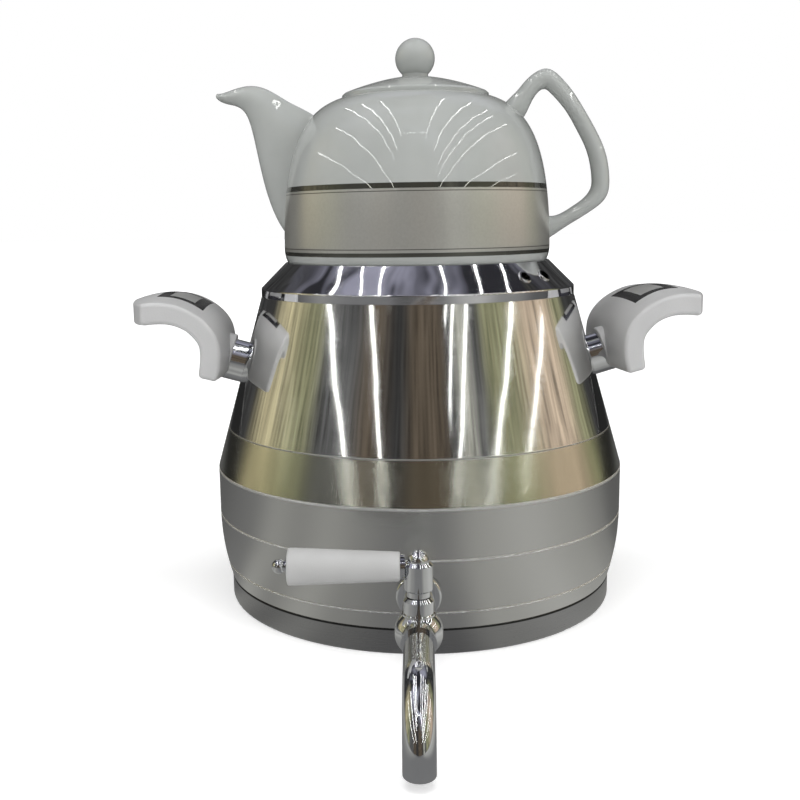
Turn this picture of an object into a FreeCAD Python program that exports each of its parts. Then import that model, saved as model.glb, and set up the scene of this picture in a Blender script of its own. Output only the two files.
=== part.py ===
"""A stove-top samovar: a steel kettle with a ball-valve tap, a steamer collar
and a porcelain teapot that stands on the collar.

The origin is the middle of the base's underside, +Z is up, the tap points
along -Y and the teapot's spout along -X. All lengths are in millimetres.
"""
import FreeCAD, Part
import math
import os

from FreeCAD import Vector

os.makedirs("parts", exist_ok=True)

# Kettle vessel: radii of its outside, heights above the surface it stands on
belly_radius = 110.0
belly_low_z = 48.3
belly_high_z = 72.7
weld_z = 94.1
base_radius = 104.6
cone_angle = 15.95
mouth_z = 163.8
shell_wall = 0.8
shell_corner_radius = 5.0
mouth_lip_width = 5.4
groove_width = 1.3
groove_depth = 0.4
low_groove_z = 22.0

# Heat-spreading base: an aluminium disc inside a pressed steel cap
cap_wall = 0.6
cap_height = 12.7
cap_edge_radius = 2.0
disc_thickness = 5.5
seam_height = 0.8

# Steamer collar that closes the mouth and carries the teapot
collar_wall = 0.8
collar_rim_height = 4.3
collar_chamfer_drop = 13.2
collar_foot_clearance = 0.7
collar_seat_depth = 2.0
collar_seat_width = 13.7
collar_throat_depth = 5.5
collar_bend_radius = 1.0
collar_rim_gap = 0.3
collar_tuck = 0.16
collar_tuck_drop = 1.28
plug_depth = 8.0
plug_wall = 0.8
plug_clearance = 0.6
vent_radius = 2.6
vent_bead = 1.0
vent_bead_height = 0.7
vent_angles = (43.0, 55.0)
vent_height_share = 0.5

# Teapot, heights above the foot's underside
foot_radius = 66.5
foot_flare = 3.2
foot_ring_width = 5.0
foot_recess = 2.5
foot_low_pull_share = 0.08
foot_high_pull_share = 0.48
pot_belly_radius = 71.0
pot_belly_height = 10.5
pot_rim_height = 86.6
pot_rim_round = 1.0
pot_shoulder_radius = 39.5
pot_mouth_radius = 33.8
pot_shoulder_slope = 16.0
pot_wall = 4.0
pot_floor = 4.5
pot_lower_pull = 46.0
pot_lower_lean = 0.8
pot_upper_pull = 24.0

# Teapot lid; the pull points that shape its dome are shares of the lid's
# radius and of the dome's rise
lid_rim_step = 0.9
lid_edge_height = 2.4
lid_edge_round = 1.2
lid_dome_rise = 10.9
lid_outer_pull_share = ((0.75, 0.56), (0.43, 0.90))
lid_inner_pull_share = (0.55, 0.30)
lid_crown_pull_share = 0.3
lid_wall = 3.6
lid_skirt_depth = 9.0
lid_skirt_wall = 3.0
lid_skirt_clearance = 0.7
knob_radius = 10.4
knob_neck_radius = 6.8
knob_neck_height = 1.6

# Teapot spout: stations from root to tip along the top and the bottom of its
# outline, each a distance out from the belly's wall and a share of the rim's height
spout_top_out = (-25.0, -17.5, -3.5, 5.5, 14.6, 24.0, 33.6)
spout_top_share = (0.820, 0.907, 0.998, 1.061, 1.095, 1.080, 1.051)
spout_bottom_out = (-9.0, 0.2, 11.7, 16.4, 20.4, 26.4, 34.2)
spout_bottom_share = (0.116, 0.214, 0.575, 0.843, 0.948, 0.984, 1.022)
spout_half_width = (10.5, 11.5, 10.0, 8.6, 7.9, 7.2, 5.6)
spout_wall = 2.6
least_channel_length_share = 0.35
least_channel_width_share = 0.5
section_points = 12
strainer_hole_radius = 2.0
strainer_ring_radius = 5.4
strainer_ring_holes = 6
strainer_height = 52.0

# Teapot handle: middle line from the upper root to the lower one, each point
# a distance out from the belly's wall and a share of the rim's height, with
# the half thickness in the handle's own plane and the half width across it
handle_out = (-23.5, -18.2, -13.4, -8.4, -2.3, 2.6, 10.6, 17.4, 23.6, 26.7, 25.9, 19.9, 13.6,
              7.1, 0.5, -6.0)
handle_share = (0.868, 0.932, 1.008, 1.075, 1.101, 1.063, 0.955, 0.827, 0.685, 0.521, 0.424,
                0.349, 0.301, 0.257, 0.226, 0.212)
handle_half_thickness = (6.8, 6.1, 4.7, 4.5, 5.2, 4.6, 4.2, 4.2, 4.4, 4.6, 4.7, 3.9, 3.7, 3.8, 5.5, 7.0)
handle_half_width = (8.0, 7.2, 6.4, 6.2, 6.4, 6.4, 6.4, 6.6, 6.7, 6.8, 6.8, 6.6, 6.4, 6.6, 7.4, 8.4)

# Side handles: a stud welded on the cone, a ferrule tube round it and a
# hooked grip, held together by one long bolt
ferrule_z = 127.6
ferrule_radius = 11.2
ferrule_length = 12.4
ferrule_wall = 1.2
stud_radius = 6.0
stud_length = 8.0
bolt_radius = 2.5
bolt_thread = 5.0
bolt_head_radius = 4.6
bolt_head_height = 3.4
bolt_head_depth = 3.6
bolt_fit = 0.15
ferrule_fit = 0.1
ferrule_lip_wall = 2.4
ferrule_lip_start = 5.0
ferrule_lip_depth = 6.0
ferrule_lip_round = 0.8
handle_turn = 4.5

# Grip: middle line of the hook in its own upright plane (distance out from
# the ferrule's end, height above it), with the half thickness at each point
grip_line = ((49.8, 21.6), (44.3, 24.4), (37.8, 26.4), (30.8, 27.3), (24.8, 27.2),
             (19.8, 26.3), (15.3, 24.6), (10.8, 22.0), (6.6, 18.2), (3.6, 13.8),
             (2.3, 9.0), (2.2, 4.0), (2.9, -1.7), (4.2, -6.7))
grip_half_thickness = (4.6, 5.2, 5.4, 5.5, 5.35, 5.2, 5.05, 5.0, 5.1, 5.1, 5.1, 5.15, 5.05, 4.3)
grip_half_width = 43.0
# Its outer end is an arc in plan
grip_end_reach = 151.8
grip_end_radius = 100.0
grip_crown = 2.2
grip_edge_radius = 2.2
# Inlay and panel: inner and outer edge, each a distance out from the
# ferrule's end with the half width there
inlay_inner = (6.8, 25.0)
inlay_outer = (30.8, 21.0)
inlay_depth = 1.0
panel_inner = (11.8, 17.0)
panel_outer = (24.8, 15.0)
panel_depth = 0.5

# Tap: ball valve on an axis that points straight out of the belly
tap_z = 32.0
ball_stand_off = 45.1
housing_radius = 10.5
shank_radius = 7.5
shank_inside_length = 8.8
shank_fit = 0.2
water_bore = 4.3
flange_radius = 10.7
flange_thickness = 2.2
flange_round = 1.5
gasket_radius = 10.0
outer_gasket_wall = 1.05
inner_gasket_wall = 0.4
locknut_across = 22.0
locknut_thickness = 4.5
inner_washer_thickness = 1.0
housing_front_radius = 7.5
retainer_length = 2.4
ball_radius = 6.4
seat_backing = 1.4
seat_length = 3.6
seat_fit = 0.08
ball_side_clearance = 0.35
stem_radius = 2.6
stem_fit = 0.05
tang_width = 2.6
tang_depth = 1.5
tang_fit = 0.08
bonnet_radius = 6.45
bonnet_skirt_radius = 7.0
bonnet_skirt_height = 0.9
bonnet_seat_height = 7.6
bonnet_height = 7.8
bonnet_chamfer = 1.3
packing_height = 3.5
packing_radius = 4.4
packing_fit = 0.05
hub_radius = 6.15
hub_neck_radius = 4.9
hub_gap = 0.5
hub_neck_height = 2.7
hub_height = 13.7
hub_chamfer = 1.4
hub_step = 0.5
hub_bore_depth = 6.0
lever_below_dome = 1.0
lever_rod_radius = 2.0
lever_rod_thread = 3.2
lever_washer_radius = 5.2
lever_washer_length = 1.4
lever_washer_sink = 0.6
lever_grip_length = 47.0
lever_grip_inner_radius = 6.15
lever_grip_outer_radius = 7.95
lever_grip_round = 0.8
finial_flange_radius = 3.6
finial_flange_length = 0.8
finial_neck_radius = 2.4
finial_neck_length = 1.0
finial_ball_radius = 3.1
finial_bore_depth = 3.0
grub_radius = 1.5
grub_recess = 0.5
spout_radius = 6.3
spout_tube_wall = 1.0
spout_tube_round = 0.7
spout_bend_radius = 25.0
spout_drop_z = 4.0
outlet_stand_off = 67.0
spout_socket_depth = 3.5

# How near a number has to be to find an edge by its size or place
tiny = 0.01


def polar(radius, degrees):
    """Point in the ground plane, 0 degrees along -Y and 90 along +X."""
    a = math.radians(degrees)
    return Vector(radius * math.sin(a), -radius * math.cos(a), 0)


def line(a, b):
    return Part.LineSegment(a, b).toShape()


def rz(r, z):
    """A point of a turned outline: radius and height."""
    return Vector(r, 0, z)


def turned(points):
    """Solid of revolution about Z from a closed outline of (radius, height)."""
    corners = [rz(*p) for p in points]
    corners.append(corners[0])
    return Part.Face(Part.makePolygon(corners)).revolve(Vector(), Vector(0, 0, 1), 360)


def turned_edges(edges):
    """Solid of revolution about Z from a closed chain of edges."""
    wire = Part.Wire(Part.__sortEdges__(edges))
    return Part.Face(wire).revolve(Vector(), Vector(0, 0, 1), 360)


def rod(radius, start, direction, length):
    return Part.makeCylinder(radius, length, start, direction)


def bezier(*points):
    curve = Part.BezierCurve()
    curve.setPoles(list(points))
    return curve.toShape()


def quarter(centre, start, end):
    """Quarter arc from start to end about a centre in the XZ plane."""
    middle = (start + end) * 0.5 - centre
    middle.normalize()
    mid = centre + middle * (start - centre).Length
    return Part.Arc(start, mid, end).toShape()


def one_solid(shape):
    """The single solid of a boolean result, seams removed."""
    clean = shape.removeSplitter()
    if len(clean.Solids) == 1:
        return clean.Solids[0]
    return clean


def save(name, shape):
    shape.exportStep("parts/" + name + ".step")


def mirrored(shape):
    """Copy on the other side of the kettle."""
    return shape.mirror(Vector(), Vector(1, 0, 0))


# Kettle vessel

cone_tan = math.tan(math.radians(cone_angle))
cone_cos = math.cos(math.radians(cone_angle))
half_cone_tan = math.tan(math.radians(cone_angle / 2))
mouth_radius = belly_radius - (mouth_z - belly_high_z) * cone_tan
weld_radius = belly_radius - (weld_z - belly_high_z) * cone_tan
cap_inner_radius = base_radius - cap_wall
shell_floor_z = cap_wall + disc_thickness
step_z = cap_height + seam_height
flank_drop = belly_radius - base_radius
flank_rise = belly_low_z - cap_height
flank_radius = (flank_rise ** 2 + flank_drop ** 2) / (2 * flank_drop)


def flank_point(z, inset):
    """Outside of the curved lower flank at a height, moved in by an inset."""
    radius = flank_radius - inset
    half = math.sqrt(radius ** 2 - (belly_low_z - z) ** 2)
    return rz(belly_radius - flank_radius + math.copysign(half, flank_radius), z)


def flank_at(z):
    return flank_point(z, 0).x


def cone_at(z):
    return belly_radius - (z - belly_high_z) * cone_tan


def lower_outline(inset, top_z):
    """Closed outline of the lower shell, filled in to the axis."""
    floor_z = shell_floor_z + inset
    side = cap_inner_radius - inset
    corner = shell_corner_radius - inset
    corner_middle = rz(side - corner, floor_z + corner)
    joggle = step_z + inset
    flank_foot = flank_point(joggle, inset)
    flank_top = rz(belly_radius - inset, belly_low_z)
    belly_top = rz(belly_radius - inset, belly_high_z - inset * half_cone_tan)
    cone_end = rz(cone_at(top_z) - inset / cone_cos, top_z)
    return [
        line(rz(0, floor_z), rz(side - corner, floor_z)),
        quarter(corner_middle, rz(side - corner, floor_z), rz(side, floor_z + corner)),
        line(rz(side, floor_z + corner), rz(side, joggle)),
        line(rz(side, joggle), flank_foot),
        Part.Arc(flank_foot, flank_point((joggle + belly_low_z) / 2, inset), flank_top).toShape(),
        line(flank_top, belly_top),
        line(belly_top, cone_end),
        line(cone_end, rz(0, top_z)),
        line(rz(0, top_z), rz(0, floor_z)),
    ]


def groove(radius, z):
    """Shallow pressed line round the shell, as a ring to cut away."""
    reach = 1.5 * groove_width
    outer = radius + groove_width
    return turned([(radius - groove_depth, z), (outer, z + reach), (outer, z - reach)])


def make_lower_shell():
    solid = turned_edges(lower_outline(0, weld_z))
    cavity = turned_edges(lower_outline(shell_wall, weld_z))
    shell = solid.cut(cavity)
    for z in (low_groove_z, belly_low_z, belly_high_z):
        radius = flank_at(z) if z < belly_low_z else belly_radius
        shell = shell.cut(groove(radius, z))
    return shell


def make_upper_shell():
    inset = shell_wall / cone_cos
    lip_bottom = mouth_z - shell_wall
    wall = turned([
        (weld_radius, weld_z), (mouth_radius, mouth_z),
        (mouth_radius - mouth_lip_width, mouth_z), (mouth_radius - mouth_lip_width, lip_bottom),
        (cone_at(lip_bottom) - inset, lip_bottom), (weld_radius - inset, weld_z)])
    return wall.cut(groove(weld_radius, weld_z))


def make_base_disc():
    return Part.makeCylinder(cap_inner_radius - shell_corner_radius, disc_thickness, rz(0, cap_wall))


def make_base_cap():
    dish = Part.makeCylinder(base_radius, cap_height)
    bottom_edges = [e for e in dish.Edges if e.BoundBox.ZMax < cap_wall]
    dish = dish.makeFillet(cap_edge_radius, bottom_edges)
    hollow = Part.makeCylinder(cap_inner_radius, cap_height, rz(0, cap_wall))
    floor_edges = [e for e in hollow.Edges if e.BoundBox.ZMax < 2 * cap_wall]
    return dish.cut(hollow.makeFillet(cap_edge_radius - cap_wall, floor_edges))


# Steamer collar and what it takes from the teapot's foot

lid_radius = pot_shoulder_radius - lid_rim_step
collar_top_z = mouth_z + collar_rim_height + collar_chamfer_drop
collar_seat_z = collar_top_z - collar_seat_depth
collar_shoulder_z = mouth_z + collar_rim_height
plug_radius = mouth_radius - mouth_lip_width - plug_clearance
foot_z = collar_seat_z
pot_rim_z = foot_z + pot_rim_height


def foot_curve():
    """Outside of the foot, from the ring it stands on up to the belly."""
    belly = rz(pot_belly_radius, foot_z + pot_belly_height)
    return bezier(rz(foot_radius, foot_z),
                  rz(foot_radius + foot_flare, foot_z + foot_low_pull_share * pot_belly_height),
                  rz(pot_belly_radius, foot_z + foot_high_pull_share * pot_belly_height), belly)


def radius_at(edge, z):
    """Radius of an upright outline edge at a height."""
    level = line(rz(0, z), rz(2 * pot_belly_radius, z))
    return edge.distToShape(level)[1][0][0].x


collar_lip_inner = radius_at(foot_curve(), collar_top_z) + collar_foot_clearance
collar_lip_radius = collar_lip_inner + collar_wall
collar_throat_radius = collar_lip_inner - collar_seat_width


def make_collar_shell():
    w = collar_wall
    slope = math.atan2(mouth_radius - collar_lip_radius, collar_chamfer_drop)
    lean = w * math.tan(slope / 2)
    tuck = collar_lip_radius - collar_tuck
    top, seat, low = collar_top_z, collar_seat_z, mouth_z + collar_rim_gap
    ring = turned([
        (mouth_radius, low), (mouth_radius, collar_shoulder_z), (collar_lip_radius, top),
        (collar_lip_radius - w, top), (collar_lip_radius - w, seat), (collar_throat_radius, seat),
        (collar_throat_radius, seat - collar_throat_depth),
        (collar_throat_radius + w, seat - collar_throat_depth),
        (collar_throat_radius + w, seat - w), (tuck, seat - w), (tuck, top - collar_tuck_drop),
        (mouth_radius - w, collar_shoulder_z - lean), (mouth_radius - w, low)])
    bends = [e for e in ring.Edges
             if abs(e.BoundBox.ZMax - collar_shoulder_z) < tiny and is_ring(e, mouth_radius)]
    ring = ring.makeFillet(collar_bend_radius, bends)
    for angle in vent_angles:
        ring = add_vent(ring, angle)
    return ring


def is_ring(edge, radius):
    """True for a full circle about Z of the given radius."""
    return isinstance(edge.Curve, Part.Circle) and abs(edge.Curve.Radius - radius) < tiny


def add_vent(ring, angle):
    """Steam vent: a round hole in the sloping face with a pressed bead."""
    run = mouth_radius - collar_lip_radius
    radius = mouth_radius - run * (1 - vent_height_share)
    z = collar_shoulder_z + collar_chamfer_drop * (1 - vent_height_share)
    outward = polar(collar_chamfer_drop, angle) + Vector(0, 0, run)
    outward.normalize()
    centre = polar(radius, angle) + Vector(0, 0, z)
    sunk = 0.5 * collar_wall
    bead = rod(vent_radius + vent_bead, centre - outward * sunk, outward, vent_bead_height + sunk)
    rim = [e for e in bead.Edges if isinstance(e.Curve, Part.Circle) and e.CenterOfMass.z > centre.z]
    bead = bead.makeFillet(0.5 * vent_bead_height, rim)
    hole = rod(vent_radius, centre - outward * 2 * vent_radius, outward, 4 * vent_radius)
    return one_solid(ring.fuse(bead).cut(hole))


def make_collar_plug():
    """Ring welded inside the collar: it rests on the mouth and locates it."""
    top = mouth_z + plug_wall
    return turned([
        (mouth_radius - collar_wall, mouth_z), (mouth_radius - collar_wall, top),
        (plug_radius - plug_wall, top), (plug_radius - plug_wall, mouth_z - plug_depth),
        (plug_radius, mouth_z - plug_depth), (plug_radius, mouth_z)])


# Teapot

def pot_wall_curve(inset):
    """Outside of the pot from the belly to the shoulder, moved in by an inset."""
    slope = math.radians(pot_shoulder_slope)
    normal_r, normal_z = math.sin(slope), math.cos(slope)
    low = rz(pot_belly_radius - inset, foot_z + pot_belly_height)
    high = rz(pot_shoulder_radius - inset * normal_r, pot_rim_z - inset * normal_z)
    pull = 1 - inset / pot_belly_radius
    lower, upper = pot_lower_pull * pull, pot_upper_pull * pull
    return bezier(low, low + Vector(-pot_lower_lean, 0, lower),
                  high + Vector(upper * normal_z, 0, -upper * normal_r), high)


def pot_solid_edges():
    """Outside of the pot filled in to the axis, recess under the foot left out."""
    wall = pot_wall_curve(0)
    high = wall.Vertexes[-1].Point
    return [line(rz(0, foot_z), rz(foot_radius, foot_z)), foot_curve(), wall,
            line(high, rz(0, high.z)), line(rz(0, high.z), rz(0, foot_z))]


def pot_cavity_edges():
    """Inside of the pot up to the shoulder."""
    wall = pot_wall_curve(pot_wall)
    low, high = wall.Vertexes[0].Point, wall.Vertexes[-1].Point
    floor_z = foot_z + foot_recess + pot_floor
    corner = bezier(rz(foot_radius - pot_wall, floor_z), rz(low.x, floor_z), low)
    return [line(rz(0, floor_z), rz(foot_radius - pot_wall, floor_z)), corner, wall,
            line(high, rz(0, high.z)), line(rz(0, high.z), rz(0, floor_z))]


pot_envelope = turned_edges(pot_solid_edges())


def strainer_holes():
    """Round holes through the wall behind the spout: one in the middle of a ring."""
    places = [(0, 0)]
    for i in range(strainer_ring_holes):
        a = 2 * math.pi * i / strainer_ring_holes
        places.append((strainer_ring_radius * math.cos(a), strainer_ring_radius * math.sin(a)))
    reach = 2 * pot_belly_radius
    start = Vector(-reach, 0, foot_z + strainer_height)
    return [rod(strainer_hole_radius, start + Vector(0, y, z), Vector(1, 0, 0), reach) for y, z in places]


def make_teapot_body():
    body = pot_envelope.cut(turned_edges(pot_cavity_edges()))
    recess = Part.makeCylinder(foot_radius - foot_ring_width, foot_recess, rz(0, foot_z))
    throat = Part.makeCylinder(pot_mouth_radius, 4 * pot_wall, rz(0, pot_rim_z - 3 * pot_wall))
    body = body.cut(recess).cut(throat)
    rim_edges = [e for e in body.Edges
                 if abs(e.BoundBox.ZMin - pot_rim_z) < tiny and is_ring(e, pot_shoulder_radius)]
    body = body.makeFillet(pot_rim_round, rim_edges)
    for hole in strainer_holes():
        body = body.cut(hole)
    return body


def ring_of_points(centre, along, across, half_long, half_wide):
    """Closed smooth oval section with its long half along one direction."""
    points = []
    for i in range(section_points):
        a = 2 * math.pi * i / section_points
        points.append(centre + along * (half_long * math.cos(a)) + across * (half_wide * math.sin(a)))
    curve = Part.BSplineCurve()
    curve.interpolate(points, PeriodicFlag=True)
    return Part.Wire([curve.toShape()])


def pot_point(out, share, side):
    """Point beside the pot: distance out from the belly, share of the rim height."""
    return Vector(side * (pot_belly_radius + out), 0, foot_z + share * pot_rim_height)


def spout_loft(inset):
    """Spout's solid through its stations, moved in by an inset."""
    sections = []
    tops = [pot_point(out, share, -1) for out, share in zip(spout_top_out, spout_top_share)]
    bottoms = [pot_point(out, share, -1) for out, share in zip(spout_bottom_out, spout_bottom_share)]
    for high, low, half_width in zip(tops, bottoms, spout_half_width):
        along = (high - low).normalize()
        half = (high - low).Length / 2
        half_long = max(half - inset, half * least_channel_length_share)
        half_wide = max(half_width - inset, half_width * least_channel_width_share)
        sections.append(ring_of_points((high + low) * 0.5, along, Vector(0, 1, 0), half_long, half_wide))
    return Part.makeLoft(sections, True, False)


def make_teapot_spout():
    solid = spout_loft(0).cut(pot_envelope)
    return one_solid(solid.cut(spout_loft(spout_wall)))


def make_teapot_handle():
    centres = [pot_point(out, share, 1) for out, share in zip(handle_out, handle_share)]
    sections = []
    for i, centre in enumerate(centres):
        before = centres[max(i - 1, 0)]
        after = centres[min(i + 1, len(centres) - 1)]
        forward = (after - before).normalize()
        side = Vector(0, 1, 0)
        up = forward.cross(side)
        sections.append(ring_of_points(centre, up, side, handle_half_thickness[i], handle_half_width[i]))
    return one_solid(Part.makeLoft(sections, True, False).cut(pot_envelope))


def make_teapot_lid():
    z = pot_rim_z
    crown = z + lid_dome_rise
    edge = z + lid_edge_height
    skirt = pot_mouth_radius - lid_skirt_clearance
    neck_top = crown + knob_neck_height
    ball_z = neck_top + math.sqrt(knob_radius ** 2 - knob_neck_radius ** 2)
    inner = skirt - lid_skirt_wall
    dome_foot = rz(lid_radius - lid_edge_round, edge + lid_edge_round / 3)
    edge_foot = rz(lid_radius, edge - lid_edge_round / 2)
    outer_pulls = [rz(r * lid_radius, z + rise * lid_dome_rise) for r, rise in lid_outer_pull_share]
    inner_pull = rz(lid_inner_pull_share[0] * lid_radius, z + lid_inner_pull_share[1] * lid_dome_rise)
    crown_pull = rz(lid_crown_pull_share * lid_radius, crown - lid_wall)
    dome = bezier(dome_foot, *outer_pulls, rz(knob_neck_radius, crown))
    under = bezier(rz(inner, z), inner_pull, crown_pull, rz(0, crown - lid_wall))
    ball_top = rz(0, ball_z + knob_radius)
    ball = Part.Arc(rz(knob_neck_radius, neck_top), rz(knob_radius, ball_z), ball_top).toShape()
    skirt_z = z - lid_skirt_depth
    return turned_edges([
        line(rz(0, crown - lid_wall), ball_top), ball,
        line(rz(knob_neck_radius, neck_top), rz(knob_neck_radius, crown)), dome,
        line(dome_foot, edge_foot), line(edge_foot, rz(lid_radius, z)),
        line(rz(lid_radius, z), rz(skirt, z)), line(rz(skirt, z), rz(skirt, skirt_z)),
        line(rz(skirt, skirt_z), rz(inner, skirt_z)), line(rz(inner, skirt_z), rz(inner, z)), under])


# Side handles, built on the +X side and mirrored

axis_out = Vector(cone_cos, 0, cone_tan * cone_cos)
cone_foot = Vector(cone_at(ferrule_z), 0, ferrule_z)
ferrule_end = cone_foot + axis_out * ferrule_length
cone_cutter = turned([(0, weld_z), (weld_radius, weld_z), (mouth_radius, mouth_z), (0, mouth_z)])


def make_handle_stud():
    """Threaded stud welded on the cone, hidden inside the ferrule."""
    solid = rod(stud_radius, cone_foot - axis_out * stud_radius, axis_out, stud_length + stud_radius)
    thread = rod(bolt_radius, cone_foot + axis_out * (stud_length - bolt_thread), axis_out, stud_length)
    return one_solid(solid.cut(cone_cutter).cut(thread))


def make_handle_ferrule():
    start = cone_foot - axis_out * ferrule_radius
    length = ferrule_radius + ferrule_length
    tube = rod(ferrule_radius, start, axis_out, length)
    bore = rod(ferrule_radius - ferrule_wall, start, axis_out, length)
    pieces = tube.cut(bore).cut(cone_cutter).Solids
    return max(pieces, key=lambda s: s.CenterOfMass.x)


def grip_section(centre, up, half_thick):
    """Slab section with a crowned top, square to the middle line."""
    side = Vector(0, grip_half_width, 0)
    lift = up * half_thick
    crown = up * (half_thick + grip_crown)
    left, right = centre - side, centre + side
    return Part.Wire([
        Part.Arc(left + lift, centre + crown, right + lift).toShape(), line(right + lift, right - lift),
        line(right - lift, left - lift), line(left - lift, left + lift)])


def make_grip_solid():
    """Hooked slab lofted through its stations, its outer end cut to an arc."""
    centres = [ferrule_end + Vector(x, 0, z) for x, z in grip_line]
    last = len(centres) - 1
    sections = []
    for i, centre in enumerate(centres):
        along = (centres[min(i + 1, last)] - centres[max(i - 1, 0)]).normalize()
        up = Vector(0, 1, 0).cross(along)
        sections.append(grip_section(centre, up, grip_half_thickness[i]))
    middle = rz(grip_end_reach - grip_end_radius, weld_z)
    disc = Part.makeCylinder(grip_end_radius, belly_radius, middle)
    slab = Part.makeLoft(sections, True, False).common(disc)
    return slab.makeFillet(grip_edge_radius, slab.Edges)


def window(inner, outer):
    """Upright prism over a patch of the grip, from its inner and outer edge."""
    near, far = ferrule_end + Vector(inner[0], 0, 0), ferrule_end + Vector(outer[0], 0, 0)
    near_side, far_side = Vector(0, inner[1], 0), Vector(0, outer[1], 0)
    corners = [near - near_side, far - far_side, far + far_side, near + near_side, near - near_side]
    return Part.Face(Part.makePolygon(corners)).extrude(Vector(0, 0, belly_radius))


def ferrule_lip():
    """Round lip moulded on the grip's inner face, which the ferrule goes into."""
    start = ferrule_end - axis_out * ferrule_lip_start
    lip = rod(ferrule_radius + ferrule_lip_wall, start, axis_out, ferrule_lip_depth)
    rim = [e for e in lip.Edges if isinstance(e.Curve, Part.Circle) and e.CenterOfMass.x < start.x + tiny]
    lip = lip.makeFillet(ferrule_lip_round, rim)
    foot_z = ferrule_end.z + grip_line[-1][1]
    return lip.common(Part.makeCylinder(2 * belly_radius, belly_radius, rz(0, foot_z)))


def make_side_handle():
    """All pieces of the +X handle by name."""
    pocket = rod(ferrule_radius + ferrule_fit, cone_foot, axis_out, ferrule_length)
    slab = one_solid(make_grip_solid().fuse(ferrule_lip()).cut(pocket))
    skin = slab.cut(slab.translated(Vector(0, 0, -inlay_depth)))
    recess = one_solid(largest(skin.common(window(inlay_inner, inlay_outer))))
    thin = slab.cut(slab.translated(Vector(0, 0, -panel_depth)))
    panel = one_solid(largest(thin.common(window(panel_inner, panel_outer))))
    head_seat = ferrule_end + axis_out * bolt_head_depth
    hole = rod(bolt_radius + bolt_fit, cone_foot, axis_out, 3 * ferrule_length)
    counterbore = rod(bolt_head_radius + bolt_fit, head_seat, axis_out, 3 * ferrule_length)
    bolt_start = cone_foot + axis_out * (stud_length - bolt_thread)
    shaft = rod(bolt_radius, bolt_start, axis_out, (head_seat - bolt_start).Length)
    head = rod(bolt_head_radius, head_seat, axis_out, bolt_head_height)
    return {
        "handle_stud": make_handle_stud(),
        "handle_ferrule": make_handle_ferrule(),
        "handle_grip": one_solid(slab.cut(recess).cut(hole).cut(counterbore)),
        "handle_inlay": one_solid(recess.cut(panel)),
        "handle_panel": panel,
        "handle_bolt": one_solid(shaft.fuse(head)),
    }


def handle_turned(shape):
    """The handles stand a little turned about the kettle's axis from the spout's line."""
    return shape.rotated(Vector(), Vector(0, 0, 1), handle_turn)


def largest(shape):
    return max(shape.Solids, key=lambda s: s.Volume)


# Tap

forward = Vector(0, -1, 0)
belly_at_tap = flank_at(tap_z)
tap_ball_reach = belly_at_tap + ball_stand_off
outlet_reach = tap_ball_reach + outlet_stand_off
bonnet_seat_z = tap_z + bonnet_seat_height
housing_centre = Vector(0, -tap_ball_reach, tap_z)


def on_axis(reach):
    """Point on the tap's axis at a distance out from the kettle's axis."""
    return Vector(0, -reach, tap_z)


belly_round_tap = [flank_at(tap_z + step) for step in (-gasket_radius, 0, gasket_radius)]
flange_start = max(belly_round_tap) + outer_gasket_wall
washer_face = min(belly_round_tap) - shell_wall - inner_gasket_wall
chamber_half = ball_radius + seat_backing
chamber_radius = ball_radius + ball_side_clearance
housing_front_length = chamber_half + retainer_length + spout_socket_depth
wall_cutter = turned_edges(lower_outline(0, weld_z))
cavity_cutter = turned_edges(lower_outline(shell_wall, weld_z))
hub_bottom_z = bonnet_seat_z + bonnet_height + hub_gap
hub_dome_z = hub_bottom_z + hub_height
lever_z = hub_dome_z - lever_below_dome
grub_z = hub_bottom_z + hub_bore_depth / 2


def shank_hole():
    """Round hole that clears the shank, from the kettle's axis outwards."""
    return rod(shank_radius + shank_fit, on_axis(0), forward, tap_ball_reach)


def gasket_blank():
    """Soft ring from the washer's face to the flange, before the wall is cut out of it."""
    ring = rod(gasket_radius, on_axis(washer_face), forward, flange_start - washer_face)
    return ring.cut(shank_hole())


def make_tap_outer_gasket():
    return one_solid(gasket_blank().cut(wall_cutter))


def make_tap_inner_gasket():
    return one_solid(gasket_blank().common(cavity_cutter))


def make_tap_locknut():
    end = washer_face - inner_washer_thickness
    hexagon = []
    for i in range(7):
        a = math.pi * i / 3
        r = locknut_across / math.sqrt(3)
        hexagon.append(on_axis(end) + Vector(r * math.cos(a), 0, r * math.sin(a)))
    nut = Part.Face(Part.makePolygon(hexagon)).extrude(Vector(0, locknut_thickness, 0))
    return nut.cut(rod(shank_radius, on_axis(0), forward, tap_ball_reach))


def make_tap_washer():
    start = on_axis(washer_face - inner_washer_thickness)
    return rod(gasket_radius, start, forward, inner_washer_thickness).cut(shank_hole())


def make_tap_body():
    """Threaded shank, flange and ball housing in one casting."""
    inner_end = washer_face - shank_inside_length
    shank = rod(shank_radius, on_axis(inner_end), forward, tap_ball_reach - inner_end)
    flange = rod(flange_radius, on_axis(flange_start), forward, flange_thickness)
    rim = [e for e in flange.Edges
           if isinstance(e.Curve, Part.Circle) and e.BoundBox.YMin < -flange_start - tiny]
    flange = flange.makeFillet(flange_round, rim[:1])
    ball = Part.makeSphere(housing_radius, housing_centre)
    front = rod(housing_front_radius, housing_centre, forward, housing_front_length)
    crown = Part.makeCylinder(2 * housing_radius, housing_radius, stem_place(bonnet_seat_z))
    body = shank.fuse([flange, ball, front]).cut(crown)
    bore = rod(water_bore, on_axis(0), forward, 2 * tap_ball_reach)
    chamber = rod(chamber_radius, housing_centre - forward * chamber_half, forward, tap_ball_reach)
    neck = Part.makeCylinder(packing_radius, 2 * housing_radius, housing_centre)
    return one_solid(body.cut(bore).cut(chamber).cut(neck))


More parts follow.
